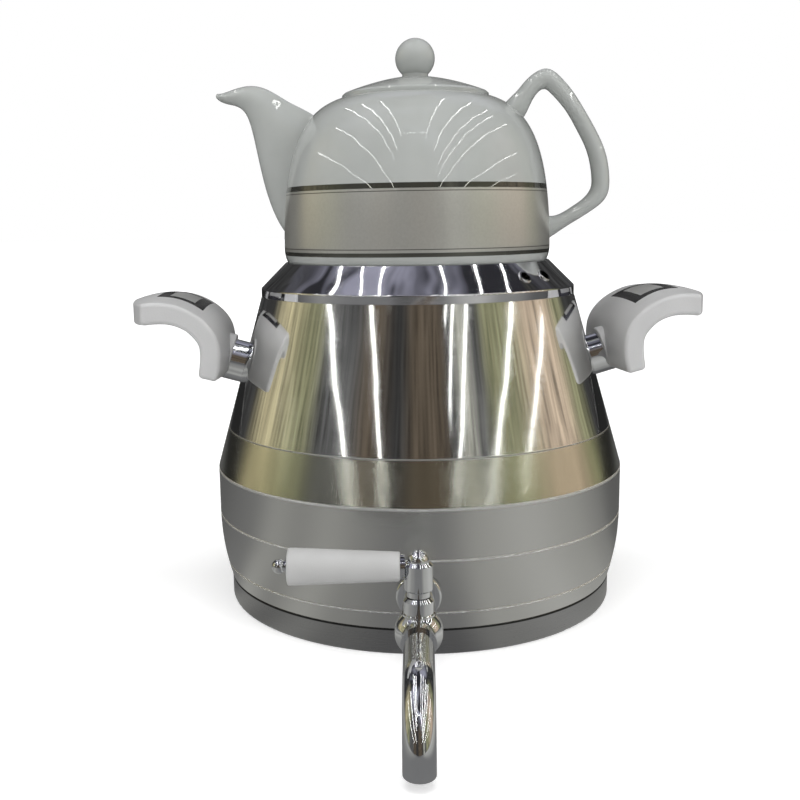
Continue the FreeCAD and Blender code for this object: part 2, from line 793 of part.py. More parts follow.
def make_valve_ball():
    ball = Part.makeSphere(ball_radius, housing_centre)
    reach = 2 * ball_radius
    bore = rod(water_bore, housing_centre + Vector(reach, 0, 0), Vector(-1, 0, 0), 2 * reach)
    half_slot = tang_width / 2 + tang_fit
    slot = Part.makeBox(2 * half_slot, 2 * reach, ball_radius)
    slot.translate(housing_centre + Vector(-half_slot, -reach, ball_radius - tang_depth))
    return ball.cut(bore).cut(slot)


def make_valve_seats():
    """Two soft rings, before and behind the ball."""
    ball_space = Part.makeSphere(ball_radius + seat_fit, housing_centre)
    seats = []
    for way in (forward, forward * -1):
        start = housing_centre + way * (chamber_half - seat_length)
        ring = rod(chamber_radius - packing_fit, start, way, seat_length)
        bore = rod(water_bore, start - way * seat_length, way, 3 * seat_length)
        seats.append(one_solid(ring.cut(bore).cut(ball_space)))
    return Part.makeCompound(seats)


def make_seat_retainer():
    """Ring screwed in behind the front seat, up to the spout's socket."""
    start = housing_centre + forward * chamber_half
    ring = rod(chamber_radius - packing_fit, start, forward, retainer_length)
    return ring.cut(rod(water_bore, start, forward, retainer_length))


def stem_place(z):
    """Point on the stem's axis at a height."""
    return Vector(0, -tap_ball_reach, z)


def make_valve_stem():
    """Round stem with a flat tang that turns the ball."""
    tang_z = tap_z + ball_radius - tang_depth + tang_fit
    round_z = tap_z + ball_radius + 2 * tang_fit
    shaft = Part.makeCylinder(stem_radius, hub_bottom_z + hub_bore_depth - round_z, stem_place(round_z))
    tang = Part.makeBox(tang_width, 2 * stem_radius, round_z - tang_z)
    tang.translate(stem_place(tang_z) - Vector(tang_width / 2, stem_radius, 0))
    tang = tang.common(Part.makeCylinder(stem_radius, ball_radius, stem_place(tang_z)))
    return one_solid(shaft.fuse(tang))


def make_stem_packing():
    ring = Part.makeCylinder(packing_radius - packing_fit, packing_height, stem_place(bonnet_seat_z))
    return ring.cut(Part.makeCylinder(stem_radius + stem_fit, packing_height, stem_place(bonnet_seat_z)))


def make_tap_bonnet():
    """Gland nut on the housing's flat crown, hollow over the packing."""
    body = Part.makeCylinder(bonnet_radius, bonnet_height, stem_place(bonnet_seat_z))
    top = [e for e in body.Edges if e.BoundBox.ZMin > bonnet_seat_z + bonnet_height - tiny]
    body = body.makeChamfer(bonnet_chamfer, top)
    skirt = Part.makeCylinder(bonnet_skirt_radius, bonnet_skirt_height, stem_place(bonnet_seat_z))
    hollow = Part.makeCylinder(packing_radius, packing_height, stem_place(bonnet_seat_z))
    hole = Part.makeCylinder(stem_radius + stem_fit, bonnet_height, stem_place(bonnet_seat_z))
    return one_solid(body.fuse(skirt).cut(hollow).cut(hole))


def make_lever_hub():
    """Turned head on the stem: neck, cylinder, chamfered dome."""
    neck_z = hub_bottom_z + hub_neck_height
    top_z = hub_dome_z + hub_chamfer
    cap_radius = hub_radius - hub_chamfer
    barrel = turned([(0, hub_bottom_z), (hub_neck_radius, hub_bottom_z),
                     (hub_neck_radius, neck_z - hub_step),
                     (hub_radius - hub_step, neck_z), (hub_radius, neck_z + hub_step),
                     (hub_radius, hub_dome_z), (cap_radius, top_z), (0, top_z)])
    cap = Part.makeSphere(cap_radius, rz(0, top_z))
    cap = cap.common(Part.makeCylinder(cap_radius, cap_radius, rz(0, top_z)))
    hub = barrel.fuse(cap).translated(stem_place(0))
    hub = hub.cut(Part.makeCylinder(stem_radius, hub_bore_depth, stem_place(hub_bottom_z)))
    hub = hub.cut(rod(lever_rod_radius, lever_start(-lever_rod_thread), Vector(-1, 0, 0), 2 * hub_radius))
    return one_solid(hub.cut(rod(grub_radius, stem_place(grub_z), Vector(1, 0, 0), 2 * hub_radius)))


def lever_start(distance):
    """Point on the lever's axis, at a distance out from the hub's side."""
    return Vector(-hub_radius - distance, -tap_ball_reach, lever_z)


def make_lever_grub_screw():
    start = Vector(stem_radius, -tap_ball_reach, grub_z)
    return rod(grub_radius, start, Vector(1, 0, 0), hub_radius - stem_radius - grub_recess)


def make_lever_washer():
    length = lever_washer_length + lever_washer_sink
    ring = rod(lever_washer_radius, lever_start(-lever_washer_sink), Vector(-1, 0, 0), length)
    hole = rod(lever_rod_radius, lever_start(-hub_radius), Vector(-1, 0, 0), 4 * hub_radius)
    side = Part.makeCylinder(hub_radius, 2 * hub_height, Vector(0, -tap_ball_reach, hub_bottom_z))
    return one_solid(ring.cut(hole).cut(side))


def make_lever_rod():
    length = lever_rod_thread + lever_washer_length + lever_grip_length + finial_bore_depth
    return rod(lever_rod_radius, lever_start(-lever_rod_thread), Vector(-1, 0, 0), length)


def make_lever_grip():
    start = lever_start(lever_washer_length)
    outward = Vector(-1, 0, 0)
    radii = lever_grip_inner_radius, lever_grip_outer_radius
    cone = Part.makeCone(*radii, lever_grip_length, start, outward)
    ends = [e for e in cone.Edges if isinstance(e.Curve, Part.Circle)]
    cone = cone.makeFillet(lever_grip_round, ends)
    return cone.cut(rod(lever_rod_radius, lever_start(0), outward, 2 * lever_grip_length))


def make_lever_finial():
    """Turned end nut: a flange, a neck and a ball, bored for the rod."""
    neck, flange, ball = finial_neck_radius, finial_flange_radius, finial_ball_radius
    neck_end = finial_flange_length + finial_neck_length
    ball_middle = neck_end + math.sqrt(ball ** 2 - neck ** 2)
    bore_end = finial_bore_depth
    outline = [
        line(rz(lever_rod_radius, 0), rz(flange, 0)),
        line(rz(flange, 0), rz(flange, finial_flange_length)),
        line(rz(flange, finial_flange_length), rz(neck, finial_flange_length)),
        line(rz(neck, finial_flange_length), rz(neck, neck_end)),
        Part.Arc(rz(neck, neck_end), rz(ball, ball_middle), rz(0, ball_middle + ball)).toShape(),
        line(rz(0, ball_middle + ball), rz(0, bore_end)),
        line(rz(0, bore_end), rz(lever_rod_radius, bore_end)),
        line(rz(lever_rod_radius, bore_end), rz(lever_rod_radius, 0))]
    nut = turned_edges(outline)
    turn = FreeCAD.Rotation(Vector(0, 0, 1), Vector(-1, 0, 0))
    nut.Placement = FreeCAD.Placement(lever_start(lever_washer_length + lever_grip_length), turn)
    return nut


def make_tap_spout():
    """Bent outlet tube, its swaged end held in the housing's mouth."""
    start = on_axis(tap_ball_reach + housing_front_length - spout_socket_depth)
    bend_start = on_axis(outlet_reach - spout_bend_radius)
    bend_end = Vector(0, -outlet_reach, tap_z - spout_bend_radius)
    tip = Vector(0, -outlet_reach, spout_drop_z)
    centre = Vector(0, -outlet_reach + spout_bend_radius, tap_z - spout_bend_radius)
    mid = centre + Vector(0, -1, 1).normalize() * spout_bend_radius
    bend = Part.Arc(bend_start, mid, bend_end).toShape()
    path = Part.Wire([line(start, bend_start), bend, line(bend_end, tip)])
    tubes = []
    for radius in (spout_radius, spout_radius - spout_tube_wall):
        circle = Part.Wire([Part.Circle(start, forward, radius).toShape()])
        tubes.append(path.makePipeShell([circle], True, False))
    swage = rod(chamber_radius, start, forward, spout_socket_depth)
    tube = tubes[0].fuse(swage).cut(tubes[1])
    rim = [e for e in tube.Edges if isinstance(e.Curve, Part.Circle)
           and e.BoundBox.ZMax < spout_drop_z + tiny and e.Curve.Radius > spout_radius - tiny]
    return tube.makeFillet(spout_tube_round, rim)


def main():
    save("lower_shell", one_solid(make_lower_shell().cut(shank_hole())))
    save("upper_shell", make_upper_shell())
    save("base_disc", make_base_disc())
    save("base_cap", make_base_cap())
    save("collar_shell", make_collar_shell())
    save("collar_plug", make_collar_plug())
    save("teapot_body", make_teapot_body())
    save("teapot_spout", make_teapot_spout())
    save("teapot_handle", make_teapot_handle())
    save("teapot_lid", make_teapot_lid())
    for name, shape in make_side_handle().items():
        save(name + "_right", handle_turned(shape))
        save(name + "_left", handle_turned(mirrored(shape)))
    save("tap_outer_gasket", make_tap_outer_gasket())
    save("tap_inner_gasket", make_tap_inner_gasket())
    save("tap_washer", make_tap_washer())
    save("tap_locknut", make_tap_locknut())
    save("tap_body", make_tap_body())
    save("valve_ball", make_valve_ball())
    save("valve_seats", make_valve_seats())
    save("seat_retainer", make_seat_retainer())
    save("valve_stem", make_valve_stem())
    save("stem_packing", make_stem_packing())
    save("tap_bonnet", make_tap_bonnet())
    save("lever_hub", make_lever_hub())
    save("lever_grub_screw", make_lever_grub_screw())
    save("lever_washer", make_lever_washer())
    save("lever_rod", make_lever_rod())
    save("lever_grip", make_lever_grip())
    save("lever_finial", make_lever_finial())
    save("tap_spout", make_tap_spout())


main()
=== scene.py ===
# %% [markdown]
# # A stove-top samovar, dressed for its portrait
#
# The object is a steel kettle with a tap, a steam collar on its mouth and a
# porcelain teapot on top. The imported CAD model is loaded as the frame. Its
# surfaces carry exact normals, so they stay, and this lesson gives them their
# finishes: brushed and mirror-polished steel, chrome, glazed porcelain, satin
# plastic.

import math

import bpy
from mathutils import Matrix, Vector

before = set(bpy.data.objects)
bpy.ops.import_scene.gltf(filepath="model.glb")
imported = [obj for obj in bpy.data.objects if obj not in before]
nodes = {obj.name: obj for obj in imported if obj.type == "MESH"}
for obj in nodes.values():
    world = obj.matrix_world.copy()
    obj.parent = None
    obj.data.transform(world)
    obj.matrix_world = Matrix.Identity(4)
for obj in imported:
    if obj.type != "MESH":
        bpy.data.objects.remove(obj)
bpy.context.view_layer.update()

# %% [markdown]
# ## Camera
#
# The photograph was taken from about 0.57 m in front of the object, a little
# above the collar, looking down by almost ten degrees. The camera was turned
# a little to the left and leans by a degree, which is why the collar and the
# pot look tilted while the foot looks level. The lens shift puts the object
# back in the middle of the frame.

# %% Camera
camera_place = Vector((0.0008, -0.574, 0.2028))
camera_down = math.radians(9.68)
camera_left = math.radians(2.60)
camera_lean = math.radians(-0.86)
camera_lens = 47.27
camera_shift_x = 0.035


def no_selection():
    """Back to object mode with nothing selected."""
    if bpy.context.object and bpy.context.object.mode != "OBJECT":
        bpy.ops.object.mode_set(mode="OBJECT")
    bpy.ops.object.select_all(action="DESELECT")


no_selection()
turn = (
    Matrix.Rotation(camera_left, 3, "Z")
    @ Matrix.Rotation(math.pi / 2 - camera_down, 3, "X")
    @ Matrix.Rotation(camera_lean, 3, "Z")
)
bpy.ops.object.camera_add(location=camera_place, rotation=turn.to_euler())
camera = bpy.context.object
camera.name = "camera"
camera.data.lens = camera_lens
camera.data.shift_x = camera_shift_x
camera.data.clip_start = 0.01
bpy.context.scene.camera = camera
bpy.context.scene.view_settings.view_transform = "Standard"
print("camera at", [round(c, 3) for c in camera.location])

# %% [markdown]
# ## White ground
#
# The picture's background is plain white. The floor is a pale matt sheet that
# takes the object's shadow, and its own Is Camera Ray light lifts it to white.
# The lift grows with the distance from the object, where the lamps reach less.
# The world does the same behind it.

# %% Floor
floor_size = 24
floor_colour = (0.86, 0.86, 0.86, 1)
floor_lift_near = 0.42
floor_lift_far = 1.0
lift_grows_from, lift_grows_to = 0.35, 2.5


def node_tree(material):
    """The nodes and links of a material, with its Principled shader."""
    material.use_nodes = True
    tree = material.node_tree
    return tree, tree.nodes["Principled BSDF"]


def camera_and_mirror_rays(tree, camera_value, mirror_value):
    """camera_value for camera rays, mirror_value for glossy and transmission rays, else 0."""
    path = tree.nodes.new("ShaderNodeLightPath")
    seen = tree.nodes.new("ShaderNodeMath")
    seen.operation = "MULTIPLY"
    seen.inputs[1].default_value = camera_value
    tree.links.new(path.outputs["Is Camera Ray"], seen.inputs[0])
    mirrored = tree.nodes.new("ShaderNodeMath")
    mirrored.operation = "MAXIMUM"
    tree.links.new(path.outputs["Is Glossy Ray"], mirrored.inputs[0])
    tree.links.new(path.outputs["Is Transmission Ray"], mirrored.inputs[1])
    both = tree.nodes.new("ShaderNodeMath")
    both.operation = "MULTIPLY_ADD"
    both.inputs[1].default_value = mirror_value
    tree.links.new(mirrored.outputs[0], both.inputs[0])
    tree.links.new(seen.outputs[0], both.inputs[2])
    return both.outputs[0]


def distance_out(tree):
    """Distance of a point from the piece's origin, in metres."""
    where = tree.nodes.new("ShaderNodeTexCoord")
    distance = tree.nodes.new("ShaderNodeVectorMath")
    distance.operation = "LENGTH"
    tree.links.new(where.outputs["Object"], distance.inputs[0])
    return distance.outputs["Value"]


no_selection()
bpy.ops.mesh.primitive_plane_add(size=floor_size, location=(0, 0, 0))
floor = bpy.context.object
floor.name = "floor"
floor_paint = bpy.data.materials.new("pale_floor")
tree, shader = node_tree(floor_paint)
shader.inputs["Base Color"].default_value = floor_colour
shader.inputs["Roughness"].default_value = 0.9
shader.inputs["Specular IOR Level"].default_value = 0.1
shader.inputs["Emission Color"].default_value = (1, 1, 1, 1)
lift = tree.nodes.new("ShaderNodeMapRange")
lift.inputs["From Min"].default_value = lift_grows_from
lift.inputs["From Max"].default_value = lift_grows_to
lift.inputs["To Min"].default_value = floor_lift_near
lift.inputs["To Max"].default_value = floor_lift_far
tree.links.new(distance_out(tree), lift.inputs["Value"])
lifted = tree.nodes.new("ShaderNodeMath")
lifted.operation = "MULTIPLY"
tree.links.new(camera_and_mirror_rays(tree, 1.0, 1.0), lifted.inputs[0])
tree.links.new(lift.outputs["Result"], lifted.inputs[1])
tree.links.new(lifted.outputs[0], shader.inputs["Emission Strength"])
floor.data.materials.append(floor_paint)

# %% World
world_fill = 0.42
world = bpy.data.worlds.new("white_room")
bpy.context.scene.world = world
world.use_nodes = True
tree = world.node_tree
background = tree.nodes["Background"]
background.inputs["Color"].default_value = (1, 1, 1, 1)
seen = camera_and_mirror_rays(tree, 1 - world_fill, 1 - world_fill)
total = tree.nodes.new("ShaderNodeMath")
total.operation = "ADD"
total.inputs[1].default_value = world_fill
tree.links.new(seen, total.inputs[0])
tree.links.new(total.outputs[0], background.inputs["Strength"])
print("world fill", world_fill)

# %% [markdown]
# ## Light
#
# Soft light comes from a wide box overhead, one at each side and a weak one in
# front. Mirrors don't show them: what mirrors see is built further down.

# %% Soft boxes


def aim(place, target):
    """Turn that points a lamp's -Z from place to target."""
    return (Vector(target) - Vector(place)).to_track_quat("-Z", "Y").to_euler()


def soft_box(name, place, target, size, watts):
    no_selection()
    bpy.ops.object.light_add(type="AREA", location=place, rotation=aim(place, target))
    lamp = bpy.context.object
    lamp.name = name
    lamp.data.shape = "RECTANGLE"
    lamp.data.size, lamp.data.size_y = size
    lamp.data.energy = watts
    lamp.visible_camera = False
    lamp.visible_glossy = False
    return lamp


object_middle = (0, 0, 0.15)
soft_box("light_top", (0.0, -0.3, 1.9), object_middle, (1.6, 1.2), 16)
soft_box("light_left", (-1.5, -1.2, 1.0), object_middle, (0.9, 1.2), 9)
soft_box("light_right", (1.5, -1.1, 1.0), object_middle, (0.9, 1.2), 12)
soft_box("light_front", (0.0, -2.2, 0.9), object_middle, (1.4, 0.8), 4)

# %% [markdown]
# ## What the mirrors see
#
# Polished steel has no look of its own: it shows the room. The room is a large
# dome that only mirror rays see, painted in soft upright bands of the room's
# colours, with bright and dark patches overhead. A mat lies round the object
# and gives the lower half of the kettle its broad grey bands.

# %% Mirror dome


def only_mirrored(obj):
    obj.visible_camera = False
    obj.visible_diffuse = False
    obj.visible_shadow = False
    obj.visible_transmission = True


def glow(name):
    """A black material that only gives off light; its nodes and shader too."""
    material = bpy.data.materials.new(name)
    tree, shader = node_tree(material)
    shader.inputs["Base Color"].default_value = (0, 0, 0, 1)
    shader.inputs["Roughness"].default_value = 1.0
    shader.inputs["Specular IOR Level"].default_value = 0.0
    shader.inputs["Emission Strength"].default_value = 1.0
    return material, tree, shader


def compass():
    """Node group: a point's azimuth about Z as a share of a turn, and its height over distance."""
    group = bpy.data.node_groups.new("compass", "ShaderNodeTree")
    group.interface.new_socket("Azimuth", in_out="OUTPUT", socket_type="NodeSocketFloat")
    group.interface.new_socket("Rise", in_out="OUTPUT", socket_type="NodeSocketFloat")
    out = group.nodes.new("NodeGroupOutput")
    where = group.nodes.new("ShaderNodeTexCoord")
    unit = group.nodes.new("ShaderNodeVectorMath")
    unit.operation = "NORMALIZE"
    group.links.new(where.outputs["Object"], unit.inputs[0])
    split = group.nodes.new("ShaderNodeSeparateXYZ")
    group.links.new(unit.outputs[0], split.inputs[0])
    front = group.nodes.new("ShaderNodeMath")
    front.operation = "MULTIPLY"
    front.inputs[1].default_value = -1
    group.links.new(split.outputs["Y"], front.inputs[0])
    angle = group.nodes.new("ShaderNodeMath")
    angle.operation = "ARCTAN2"
    group.links.new(split.outputs["X"], angle.inputs[0])
    group.links.new(front.outputs[0], angle.inputs[1])
    share = group.nodes.new("ShaderNodeMapRange")
    share.inputs["From Min"].default_value = -math.pi
    share.inputs["From Max"].default_value = math.pi
    group.links.new(angle.outputs[0], share.inputs["Value"])
    group.links.new(share.outputs["Result"], out.inputs["Azimuth"])
    group.links.new(split.outputs["Z"], out.inputs["Rise"])
    return group


compass_group = compass()


def azimuth_and_rise(tree):
    node = tree.nodes.new("ShaderNodeGroup")
    node.node_tree = compass_group
    return node.outputs["Azimuth"], node.outputs["Rise"]


def colour_bands(tree, value, bands):
    """Colours by azimuth: each band is degrees from the front and a colour."""
    ramp = tree.nodes.new("ShaderNodeValToRGB")
    ramp.color_ramp.interpolation = "EASE"
    stops = ramp.color_ramp.elements
    stops.remove(stops[1])
    for count, (degrees, colour) in enumerate(bands):
        place = (degrees + 180) / 360
        stop = stops[0] if count == 0 else stops.new(place)
        stop.position = place
        stop.color = (*colour, 1)
    tree.links.new(value, ramp.inputs["Fac"])
    return ramp.outputs["Color"]


def spread(tree, value, low, high, start=0.3, end=0.7):
    """Maps a value that runs from start to end onto low to high."""
    node = tree.nodes.new("ShaderNodeMapRange")
    node.inputs["From Min"].default_value = start
    node.inputs["From Max"].default_value = end
    node.inputs["To Min"].default_value = low
    node.inputs["To Max"].default_value = high
    tree.links.new(value, node.inputs["Value"])
    return node.outputs["Result"]


def blend_colours(tree, factor, first, second, how="MIX"):
    node = tree.nodes.new("ShaderNodeMix")
    node.data_type = "RGBA"
    node.blend_type = how
    if isinstance(factor, float):
        node.inputs[0].default_value = factor
    else:
        tree.links.new(factor, node.inputs[0])
    for socket, colour in ((node.inputs[6], first), (node.inputs[7], second)):
        if isinstance(colour, tuple):
            socket.default_value = (*colour, 1)
        else:
            tree.links.new(colour, socket)
    return node.outputs[2]


# A few plain room tones, and the directions they lie in
dark = (0.04, 0.04, 0.04)
shade = (0.10, 0.10, 0.10)
wood = (0.10, 0.08, 0.06)
leaf = (0.25, 0.25, 0.15)
sand = (0.45, 0.40, 0.25)
blush = (0.50, 0.40, 0.30)
pale = (0.40, 0.40, 0.35)
room_bands = [
    (-180, shade), (-150, dark), (-125, dark), (-105, sand), (-75, leaf), (-60, shade),
    (-45, shade), (-30, wood), (-12, dark), (0, wood), (15, wood), (22, dark), (30, pale),
    (40, shade), (50, leaf), (60, leaf), (85, blush), (100, blush), (115, leaf), (130, dark),
    (150, dark), (180, shade),
]
dome_radius = 12.0
streaks_round_dome = 150
streaks_up_dome = 5
streak_darkest, streak_brightest = 0.25, 1.9
patch_dark = (0.03, 0.03, 0.035)
patch_bright = (0.36, 0.36, 0.44)
patch_edge_from, patch_edge_to = 0.48, 0.58
ceiling_from, ceiling_to = 0.50, 0.72
no_selection()
bpy.ops.mesh.primitive_uv_sphere_add(
    segments=96, ring_count=48, radius=dome_radius, location=(0, 0, 0)
)
dome = bpy.context.object
dome.name = "mirror_dome"
bpy.ops.object.shade_smooth()
room_paint, tree, shader = glow("room_bands")
azimuth, rise = azimuth_and_rise(tree)
bands = colour_bands(tree, azimuth, room_bands)
# Fine upright streaks: noise that changes quickly with azimuth and slowly with height
joined = tree.nodes.new("ShaderNodeCombineXYZ")
tree.links.new(spread(tree, azimuth, 0, streaks_round_dome, 0, 1), joined.inputs[0])
tree.links.new(spread(tree, rise, 0, streaks_up_dome, 0, 1), joined.inputs[1])
streaks = tree.nodes.new("ShaderNodeTexNoise")
streaks.inputs["Scale"].default_value = 1.6
streaks.inputs["Detail"].default_value = 4.0
streaks.inputs["Distortion"].default_value = 0.5
tree.links.new(joined.outputs[0], streaks.inputs["Vector"])
streak = spread(tree, streaks.outputs["Fac"], streak_darkest, streak_brightest)
streak_grey = tree.nodes.new("ShaderNodeCombineXYZ")
for axis in range(3):
    tree.links.new(streak, streak_grey.inputs[axis])
walls = blend_colours(tree, 1.0, bands, streak_grey.outputs[0], "MULTIPLY")
patches = tree.nodes.new("ShaderNodeTexNoise")
patches.inputs["Scale"].default_value = 0.16
patches.inputs["Detail"].default_value = 3.0
patches.inputs["Distortion"].default_value = 0.6
place = tree.nodes.new("ShaderNodeTexCoord")
tree.links.new(place.outputs["Object"], patches.inputs["Vector"])
patch_mask = spread(tree, patches.outputs["Fac"], 0, 1, patch_edge_from, patch_edge_to)
overhead = blend_colours(tree, patch_mask, patch_dark, patch_bright)
room = blend_colours(tree, spread(tree, rise, 0, 1, ceiling_from, ceiling_to), walls, overhead)
tree.links.new(room, shader.inputs["Emission Color"])
dome.data.materials.append(room_paint)
only_mirrored(dome)
print("room bands:", len(room_bands))

# %% Mat
black = (0.02, 0.02, 0.02)
low = (0.12, 0.12, 0.12)
low_middle = (0.20, 0.20, 0.20)
middle = (0.28, 0.28, 0.27)
light = (0.40, 0.40, 0.38)
bright = (0.50, 0.50, 0.48)
near_bands = [
    (-180, low), (-130, low), (-85, low_middle), (-70, light), (-55, middle), (-40, light),
    (-25, middle), (-8, low_middle), (10, low_middle), (25, light), (50, bright), (75, light),
    (95, middle), (112, low), (180, low),
]
far_bands = [
    (-180, black), (-120, black), (-95, low), (-70, middle), (-45, low_middle), (-20, low_middle),
    (-5, low), (15, low_middle), (40, bright), (65, middle), (95, low), (120, black), (180, black),
]
mat_radius = 11.5
mat_height = 0.0005
far_from, far_to = 0.5, 1.0
no_selection()
bpy.ops.mesh.primitive_circle_add(
    vertices=96, radius=mat_radius, fill_type="NGON", location=(0, 0, mat_height)
)
mat = bpy.context.object
mat.name = "floor_mat"
bpy.ops.object.transform_apply(location=True, rotation=True, scale=True)
mat_paint, tree, shader = glow("mat_bands")
azimuth = azimuth_and_rise(tree)[0]
near_mat = colour_bands(tree, azimuth, near_bands)
far_mat = colour_bands(tree, azimuth, far_bands)
away = spread(tree, distance_out(tree), 0, 1, far_from, far_to)
tree.links.new(blend_colours(tree, away, near_mat, far_mat), shader.inputs["Emission Color"])
mat.data.materials.append(mat_paint)
only_mirrored(mat)
print("mat bands:", len(near_bands), len(far_bands))

# %% [markdown]
# ## Lamp strips
#
# Long thin lamps run along the ceiling, from far in front of the object to
# behind it. The cone of the kettle shows them as bright leaning streaks, and
# the glaze of the pot as fine white lines that fan out over its shoulder. They
# are real strips high overhead, so every surface finds its own reflection.

# %% Lamp strips
strip_height = 2.6
# Place across, width, and the near and far end, in metres
lamp_strips = [
    (-12.0, 0.10, -3.5, 4.5), (-5.7, 0.08, -9.5, 1.4), (-2.8, 0.055, -9.0, 0.6),
    (-1.50, 0.03, -4.2, 1.6), (-1.05, 0.035, -3.4, 1.2), (-0.64, 0.022, -2.3, 1.0),
    (0.50, 0.022, -2.5, 1.2), (1.08, 0.02, -3.0, -1.6), (1.10, 0.03, -3.4, 1.2),
    (1.75, 0.03, -4.8, 1.2), (2.20, 0.035, -6.2, 1.0), (3.10, 0.05, -9.0, 1.6),
    (6.20, 0.08, -9.5, 1.8), (9.60, 0.08, -6.0, 1.5), (12.0, 0.10, -1.0, 5.0),
]
cross_strip = (-0.07, 1.14, -2.13, -2.11)
strip_strength = 11.0
strip_paint, tree, shader = glow("lamp_strip")
shader.inputs["Emission Color"].default_value = (1.0, 1.0, 0.98, 1)
shader.inputs["Emission Strength"].default_value = strip_strength


def strip(name, across, width, near, far):
    no_selection()
    bpy.ops.mesh.primitive_plane_add(size=1, location=(across, (near + far) / 2, strip_height))
    lamp = bpy.context.object
    lamp.name = name
    bpy.ops.transform.resize(value=(width, far - near, 1))
    bpy.ops.object.transform_apply(location=True, rotation=True, scale=True)
    lamp.data.materials.append(strip_paint)
    only_mirrored(lamp)


for count, (across, width, near, far) in enumerate(lamp_strips):
    strip("lamp_strip_%d" % count, across, width, near, far)
strip("lamp_strip_cross", *cross_strip)
print("lamp strips:", len(lamp_strips) + 1)

# %% [markdown]
# ## Finishes
#
# Each finish is a Principled shader whose colour and roughness vary with noise
# on Object coordinates, most with a bump too, so that nothing is one flat colour.

# %% Marks


def marks():
    """Node group: noise from 0 to 1 on Object coordinates, squeezed or stretched along the axes."""
    group = bpy.data.node_groups.new("marks", "ShaderNodeTree")
    group.interface.new_socket("Scale", in_out="INPUT", socket_type="NodeSocketFloat")
    group.interface.new_socket("Detail", in_out="INPUT", socket_type="NodeSocketFloat")
    group.interface.new_socket("Stretch", in_out="INPUT", socket_type="NodeSocketVector")
    group.interface.new_socket("Marks", in_out="OUTPUT", socket_type="NodeSocketFloat")
    given = group.nodes.new("NodeGroupInput")
    out = group.nodes.new("NodeGroupOutput")
    where = group.nodes.new("ShaderNodeTexCoord")
    mapping = group.nodes.new("ShaderNodeMapping")
    group.links.new(where.outputs["Object"], mapping.inputs["Vector"])
    group.links.new(given.outputs["Stretch"], mapping.inputs["Scale"])
    texture = group.nodes.new("ShaderNodeTexNoise")
    group.links.new(mapping.outputs["Vector"], texture.inputs["Vector"])
    group.links.new(given.outputs["Scale"], texture.inputs["Scale"])
    group.links.new(given.outputs["Detail"], texture.inputs["Detail"])
    even = spread(group, texture.outputs["Fac"], 0, 1)
    group.links.new(even, out.inputs["Marks"])
    return group


marks_group = marks()


def noise(tree, scale, detail=3.0, stretch=(1, 1, 1)):
    node = tree.nodes.new("ShaderNodeGroup")
    node.node_tree = marks_group
    node.inputs["Scale"].default_value = scale
    node.inputs["Detail"].default_value = detail
    node.inputs["Stretch"].default_value = stretch
    return node.outputs["Marks"]


def bump(tree, shader, height, strength, distance):
    node = tree.nodes.new("ShaderNodeBump")
    node.inputs["Strength"].default_value = strength
    node.inputs["Distance"].default_value = distance
    tree.links.new(height, node.inputs["Height"])
    tree.links.new(node.outputs["Normal"], shader.inputs["Normal"])


def metal(name, dark, light, rough, grain, grain_scale, anisotropy=0.0):
    """A steel or chrome whose fine marks run round the Z axis."""
    material = bpy.data.materials.new(name)
    tree, shader = node_tree(material)
    shader.inputs["Metallic"].default_value = 1.0
    shader.inputs["Anisotropic"].default_value = anisotropy
    lines = noise(tree, grain_scale, 4.0, grain)
    cloud = noise(tree, 12, 2.0)
    both = tree.nodes.new("ShaderNodeMath")
    both.operation = "MULTIPLY_ADD"
    both.inputs[1].default_value = 0.7
    tree.links.new(lines, both.inputs[0])
    tree.links.new(spread(tree, cloud, 0, 0.3, 0, 1), both.inputs[2])
    tree.links.new(blend_colours(tree, both.outputs[0], dark, light), shader.inputs["Base Color"])
    tree.links.new(spread(tree, both.outputs[0], rough[0], rough[1], 0, 1), shader.inputs["Roughness"])
    if anisotropy:
        around = tree.nodes.new("ShaderNodeTangent")
        around.direction_type = "RADIAL"
        around.axis = "Z"
        tree.links.new(around.outputs["Tangent"], shader.inputs["Tangent"])
    return material


def paint(material, *names):
    for name in names:
        mesh = nodes[name].data
        mesh.materials.clear()
        mesh.materials.append(material)


# %% Height bands
soft_edge = 0.0001


def height_band():
    """Node group: 1 where a point's height is between Low and High, with a hair's soft edge."""
    group = bpy.data.node_groups.new("height_band", "ShaderNodeTree")
    group.interface.new_socket("Low", in_out="INPUT", socket_type="NodeSocketFloat")
    group.interface.new_socket("High", in_out="INPUT", socket_type="NodeSocketFloat")
    group.interface.new_socket("Band", in_out="OUTPUT", socket_type="NodeSocketFloat")
    given = group.nodes.new("NodeGroupInput")
    out = group.nodes.new("NodeGroupOutput")
    where = group.nodes.new("ShaderNodeTexCoord")
    split = group.nodes.new("ShaderNodeSeparateXYZ")
    group.links.new(where.outputs["Object"], split.inputs[0])
    parts = []
    height, low_end, high_end = split.outputs["Z"], given.outputs["Low"], given.outputs["High"]
    for first, second in ((height, low_end), (high_end, height)):
        over = group.nodes.new("ShaderNodeMath")
        over.operation = "SUBTRACT"
        group.links.new(first, over.inputs[0])
        group.links.new(second, over.inputs[1])
        parts.append(spread(group, over.outputs[0], 0, 1, -soft_edge, soft_edge))
    both = group.nodes.new("ShaderNodeMath")
    both.operation = "MULTIPLY"
    group.links.new(parts[0], both.inputs[0])
    group.links.new(parts[1], both.inputs[1])
    group.links.new(both.outputs[0], out.inputs["Band"])
    return group


band_group = height_band()


def between(tree, low, high):
    node = tree.nodes.new("ShaderNodeGroup")
    node.node_tree = band_group
    node.inputs["Low"].default_value = low
    node.inputs["High"].default_value = high
    return node.outputs["Band"]


